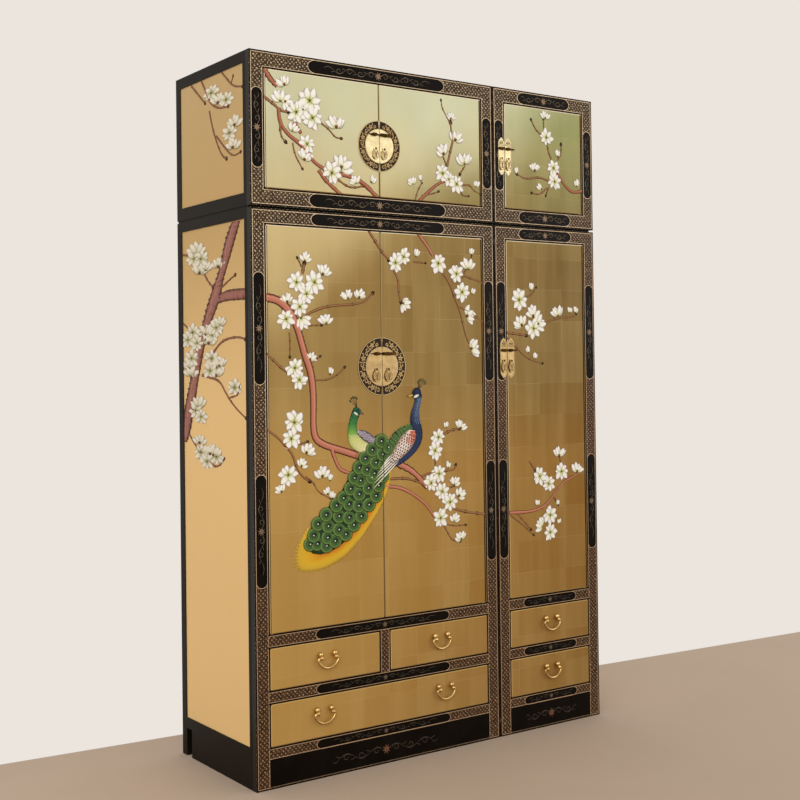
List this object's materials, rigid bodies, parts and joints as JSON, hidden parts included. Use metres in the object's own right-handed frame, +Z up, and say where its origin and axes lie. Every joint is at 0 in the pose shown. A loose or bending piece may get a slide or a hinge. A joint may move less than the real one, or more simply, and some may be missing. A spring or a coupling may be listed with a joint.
{
  "type": "wardrobe",
  "caption": "Tall lacquered wardrobe of stacked cabinets with gilt painted doors, drawers with bail pulls, sliding pin latches and hanging drops.",
  "frame": {"origin": "on the floor under the middle of the wardrobe's bounding box", "axes": "+X to the viewer's right, +Y to the rear, +Z up; the doors and drawers face -Y"},
  "size_m": [1.526, 0.5574, 2.4],
  "materials": {
    "frame_lacquer": "black lacquer with a fine painted diaper and gold lines",
    "side_lacquer": "black lacquer",
    "side_gilding": "matte gold leaf on board, with painted blossom",
    "door_gilding": "gold leaf on board, with painted birds and blossom",
    "drawer_gilding": "gold leaf on board",
    "inner_wood": "plain stained wood",
    "roundel_brass": "brass with a dark patterned rim",
    "brass": "polished brass",
    "rod_metal": "brushed",
    "felt": "felt"
  },
  "bodies": {
    "root": {"back_boards": "inner_wood", "door_pivots": "brass", "drawer_runners": "inner_wood", "hanging_rod": "rod_metal", "lower_left_boards": "inner_wood", "lower_left_face_frame": "frame_lacquer", "lower_left_side_frames": "side_lacquer", "lower_right_boards": "inner_wood", "lower_right_face_frame": "frame_lacquer", "lower_right_side_frames": "side_lacquer", "rod_sockets": "rod_metal", "shelves": "inner_wood", "side_pads": "felt", "side_panels": "side_gilding", "spacer_strips": "side_lacquer", "stile_leaves": "brass", "upper_left_boards": "inner_wood", "upper_left_face_frame": "frame_lacquer", "upper_left_side_frames": "side_lacquer", "upper_right_boards": "inner_wood", "upper_right_face_frame": "frame_lacquer", "upper_right_side_frames": "side_lacquer"},
    "upper_left_door": {"upper_left_door": "door_gilding", "upper_roundel_left": "roundel_brass"},
    "upper_right_door": {"upper_right_door": "door_gilding", "upper_roundel_right": "roundel_brass"},
    "lower_left_door": {"lower_left_door": "door_gilding", "lower_roundel_left": "roundel_brass"},
    "lower_right_door": {"lower_right_door": "door_gilding", "lower_roundel_right": "roundel_brass"},
    "upper_single_door": {"upper_single_door": "door_gilding", "upper_door_leaf": "brass"},
    "lower_single_door": {"lower_single_door": "door_gilding", "lower_door_leaf": "brass"},
    "upper_roundel_pin": {"upper_roundel_pin": "brass"},
    "lower_roundel_pin": {"lower_roundel_pin": "brass"},
    "upper_leaf_pin": {"upper_leaf_pin": "brass"},
    "lower_leaf_pin": {"lower_leaf_pin": "brass"},
    "upper_left_drop": {"upper_left_drop": "roundel_brass"},
    "upper_right_drop": {"upper_right_drop": "roundel_brass"},
    "lower_left_drop": {"lower_left_drop": "roundel_brass"},
    "lower_right_drop": {"lower_right_drop": "roundel_brass"},
    "upper_door_leaf_drop": {"upper_door_leaf_drop": "roundel_brass"},
    "upper_stile_leaf_drop": {"upper_stile_leaf_drop": "roundel_brass"},
    "lower_door_leaf_drop": {"lower_door_leaf_drop": "roundel_brass"},
    "lower_stile_leaf_drop": {"lower_stile_leaf_drop": "roundel_brass"},
    "small_left_drawer": {"small_left_drawer_front": "drawer_gilding", "small_left_drawer_box": "inner_wood", "small_left_drawer_posts": "brass"},
    "small_left_drawer_bail": {"small_left_drawer_bail": "brass"},
    "small_right_drawer": {"small_right_drawer_front": "drawer_gilding", "small_right_drawer_box": "inner_wood", "small_right_drawer_posts": "brass"},
    "small_right_drawer_bail": {"small_right_drawer_bail": "brass"},
    "wide_drawer": {"wide_drawer_front": "drawer_gilding", "wide_drawer_box": "inner_wood", "wide_drawer_posts": "brass"},
    "wide_drawer_left_bail": {"wide_drawer_left_bail": "brass"},
    "wide_drawer_right_bail": {"wide_drawer_right_bail": "brass"},
    "right_upper_drawer": {"right_upper_drawer_front": "drawer_gilding", "right_upper_drawer_box": "inner_wood", "right_upper_drawer_posts": "brass"},
    "right_upper_drawer_bail": {"right_upper_drawer_bail": "brass"},
    "right_lower_drawer": {"right_lower_drawer_front": "drawer_gilding", "right_lower_drawer_box": "inner_wood", "right_lower_drawer_posts": "brass"},
    "right_lower_drawer_bail": {"right_lower_drawer_bail": "brass"}
  },
  "joints": [
    {"name": "upper_left_door_hinge", "type": "hinge", "parent": "root", "child": "upper_left_door", "pos_m": [-0.697, -0.2483, 2.1475], "axis": [0, 0, -1], "range_deg": [0, 95]},
    {"name": "upper_right_door_hinge", "type": "hinge", "parent": "root", "child": "upper_right_door", "pos_m": [0.189, -0.2483, 2.1475], "axis": [0, 0, 1], "range_deg": [0, 95]},
    {"name": "lower_left_door_hinge", "type": "hinge", "parent": "root", "child": "lower_left_door", "pos_m": [-0.697, -0.2483, 1.167], "axis": [0, 0, -1], "range_deg": [0, 95]},
    {"name": "lower_right_door_hinge", "type": "hinge", "parent": "root", "child": "lower_right_door", "pos_m": [0.189, -0.2483, 1.167], "axis": [0, 0, 1], "range_deg": [0, 95]},
    {"name": "upper_single_door_hinge", "type": "hinge", "parent": "root", "child": "upper_single_door", "pos_m": [0.697, -0.2483, 2.1475], "axis": [0, 0, 1], "range_deg": [0, 95]},
    {"name": "lower_single_door_hinge", "type": "hinge", "parent": "root", "child": "lower_single_door", "pos_m": [0.697, -0.2483, 1.167], "axis": [0, 0, 1], "range_deg": [0, 95]},
    {"name": "upper_roundel_pin_slide", "type": "slide", "parent": "upper_left_door", "child": "upper_roundel_pin", "axis": [1, 0, 0], "range_m": [0, 0.024]},
    {"name": "lower_roundel_pin_slide", "type": "slide", "parent": "lower_left_door", "child": "lower_roundel_pin", "axis": [1, 0, 0], "range_m": [0, 0.024]},
    {"name": "upper_leaf_pin_slide", "type": "slide", "parent": "upper_single_door", "child": "upper_leaf_pin", "axis": [-1, 0, 0], "range_m": [0, 0.02]},
    {"name": "lower_leaf_pin_slide", "type": "slide", "parent": "lower_single_door", "child": "lower_leaf_pin", "axis": [-1, 0, 0], "range_m": [0, 0.02]},
    {"name": "upper_left_drop_swing", "type": "hinge", "parent": "upper_left_door", "child": "upper_left_drop", "pos_m": [-0.272, -0.2659, 2.12], "axis": [-1, 0, 0], "range_deg": [0, 70]},
    {"name": "upper_right_drop_swing", "type": "hinge", "parent": "upper_right_door", "child": "upper_right_drop", "pos_m": [-0.236, -0.2659, 2.12], "axis": [-1, 0, 0], "range_deg": [0, 70]},
    {"name": "lower_left_drop_swing", "type": "hinge", "parent": "lower_left_door", "child": "lower_left_drop", "pos_m": [-0.279, -0.2659, 1.358], "axis": [-1, 0, 0], "range_deg": [0, 70]},
    {"name": "lower_right_drop_swing", "type": "hinge", "parent": "lower_right_door", "child": "lower_right_drop", "pos_m": [-0.229, -0.2659, 1.358], "axis": [-1, 0, 0], "range_deg": [0, 70]},
    {"name": "upper_door_leaf_drop_swing", "type": "hinge", "parent": "upper_single_door", "child": "upper_door_leaf_drop", "pos_m": [0.33, -0.2645, 2.137], "axis": [-1, 0, 0], "range_deg": [0, 70]},
    {"name": "upper_stile_leaf_drop_swing", "type": "hinge", "parent": "root", "child": "upper_stile_leaf_drop", "pos_m": [0.298, -0.2645, 2.137], "axis": [-1, 0, 0], "range_deg": [0, 70]},
    {"name": "lower_door_leaf_drop_swing", "type": "hinge", "parent": "lower_single_door", "child": "lower_door_leaf_drop", "pos_m": [0.3315, -0.2645, 1.385], "axis": [-1, 0, 0], "range_deg": [0, 70]},
    {"name": "lower_stile_leaf_drop_swing", "type": "hinge", "parent": "root", "child": "lower_stile_leaf_drop", "pos_m": [0.2965, -0.2645, 1.385], "axis": [-1, 0, 0], "range_deg": [0, 70]},
    {"name": "small_left_drawer_slide", "type": "slide", "parent": "root", "child": "small_left_drawer", "axis": [0, -1, 0], "range_m": [0, 0.36]},
    {"name": "small_left_drawer_bail_swing", "type": "hinge", "parent": "small_left_drawer", "child": "small_left_drawer_bail", "pos_m": [-0.49275, -0.2723, 0.3995], "axis": [-1, 0, 0], "range_deg": [0, 75]},
    {"name": "small_right_drawer_slide", "type": "slide", "parent": "root", "child": "small_right_drawer", "axis": [0, -1, 0], "range_m": [0, 0.36]},
    {"name": "small_right_drawer_bail_swing", "type": "hinge", "parent": "small_right_drawer", "child": "small_right_drawer_bail", "pos_m": [-0.01525, -0.2723, 0.3995], "axis": [-1, 0, 0], "range_deg": [0, 75]},
    {"name": "wide_drawer_slide", "type": "slide", "parent": "root", "child": "wide_drawer", "axis": [0, -1, 0], "range_m": [0, 0.36]},
    {"name": "wide_drawer_left_bail_swing", "type": "hinge", "parent": "wide_drawer", "child": "wide_drawer_left_bail", "pos_m": [-0.508, -0.2723, 0.2185], "axis": [-1, 0, 0], "range_deg": [0, 75]},
    {"name": "wide_drawer_right_bail_swing", "type": "hinge", "parent": "wide_drawer", "child": "wide_drawer_right_bail", "pos_m": [0, -0.2723, 0.2185], "axis": [-1, 0, 0], "range_deg": [0, 75]},
    {"name": "right_upper_drawer_slide", "type": "slide", "parent": "root", "child": "right_upper_drawer", "axis": [0, -1, 0], "range_m": [0, 0.36]},
    {"name": "right_upper_drawer_bail_swing", "type": "hinge", "parent": "right_upper_drawer", "child": "right_upper_drawer_bail", "pos_m": [0.5115, -0.2723, 0.3995], "axis": [-1, 0, 0], "range_deg": [0, 75]},
    {"name": "right_lower_drawer_slide", "type": "slide", "parent": "root", "child": "right_lower_drawer", "axis": [0, -1, 0], "range_m": [0, 0.36]},
    {"name": "right_lower_drawer_bail_swing", "type": "hinge", "parent": "right_lower_drawer", "child": "right_lower_drawer_bail", "pos_m": [0.5115, -0.2723, 0.2185], "axis": [-1, 0, 0], "range_deg": [0, 75]}
  ]
}
